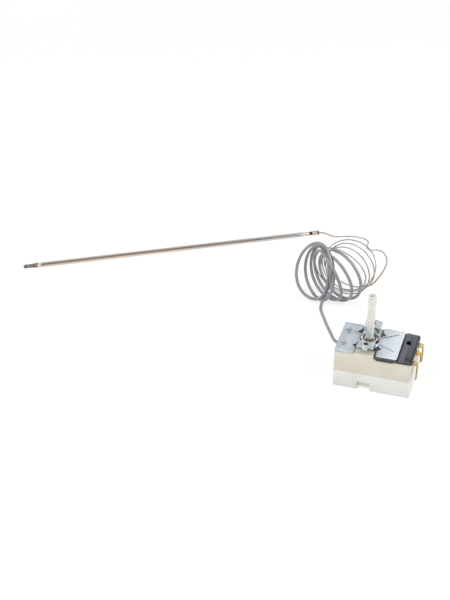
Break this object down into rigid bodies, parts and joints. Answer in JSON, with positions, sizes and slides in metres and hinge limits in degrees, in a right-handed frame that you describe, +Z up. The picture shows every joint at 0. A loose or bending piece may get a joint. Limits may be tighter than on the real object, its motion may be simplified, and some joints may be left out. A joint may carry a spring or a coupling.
{
  "type": "capillary temperature control switch",
  "caption": "Capillary temperature switch: a small box with a dial shaft, raised mounting ears and blade terminals, and a sleeved, coiled capillary with a long thin bulb.",
  "frame": {"origin": "foot of the dial shaft's axis on the underside of the bottom cover", "axes": "+Z up along the dial shaft, +X along the housing towards the blade terminals, +Y to the back"},
  "size_m": [0.3526, 0.2165, 0.073],
  "materials": {
    "white_plastic": "moulded white plastic with a low gloss",
    "cream_plastic": "moulded cream plastic, satin",
    "zinc_plate": "bright zinc plate with a faint blue tint",
    "dark_plastic": "moulded charcoal plastic, satin",
    "brass": "plain stamped brass, semi-bright",
    "natural_plastic": "natural, slightly see-through polymer",
    "steel": "drawn steel, semi-bright",
    "copper": "tinned copper tube, semi-bright",
    "ceramic": "ground ceramic",
    "spring_bronze": "rolled spring bronze",
    "sleeve": "dull grey plastic sleeve over the tube"
  },
  "bodies": {
    "housing": {"base": "white_plastic", "case": "cream_plastic", "liner": "cream_plastic", "mounting_plate": "zinc_plate", "switch_cover": "dark_plastic", "fixing_straps": "zinc_plate", "cover_screws": "zinc_plate", "spindle_bush": "brass", "shaft_ring": "zinc_plate", "capillary_inner": "copper", "arm_anchor": "brass", "anchor_rivet": "steel", "upper_contact": "steel", "lower_contact": "steel", "terminal_front": "brass", "terminal_middle": "brass", "terminal_back": "brass", "sleeve_lead": "sleeve", "sleeve_coil": "sleeve", "capillary_coil": "copper", "capillary_lead": "copper", "bulb_tube": "steel", "bulb_tip": "steel", "bulb_neck": "steel"},
    "dial_shaft": {"shaft": "natural_plastic", "spindle": "steel", "stop_disc": "steel"},
    "capsule": {"carrier": "brass", "diaphragm_upper": "steel", "diaphragm_lower": "steel", "diaphragm_stud": "brass", "thrust_button": "steel", "capillary_socket": "brass", "push_pin": "ceramic"},
    "arm": {"contact_arm": "spring_bronze", "moving_contact": "steel"}
  },
  "joints": [
    {"name": "capsule_rise", "type": "slide", "parent": "housing", "child": "capsule", "axis": [0, 0, 1], "range_m": [0, 0.000604]},
    {"name": "shaft_turn", "type": "hinge", "parent": "housing", "child": "dial_shaft", "pos_m": [0, 0, 0.05], "axis": [0, 0, -1], "range_deg": [0, 290]},
    {"name": "arm_tilt", "type": "hinge", "parent": "housing", "child": "arm", "pos_m": [0.0176, 0, 0.00895], "axis": [0, 1, 0], "range_deg": [-1.45, 0], "stiffness_Nm_per_rad": 0.05, "springref_deg": 2.86}
  ],
  "couplings": [
    {"joint": "shaft_turn", "follows": "capsule_rise", "rad_per_m": 8377.6}
  ]
}
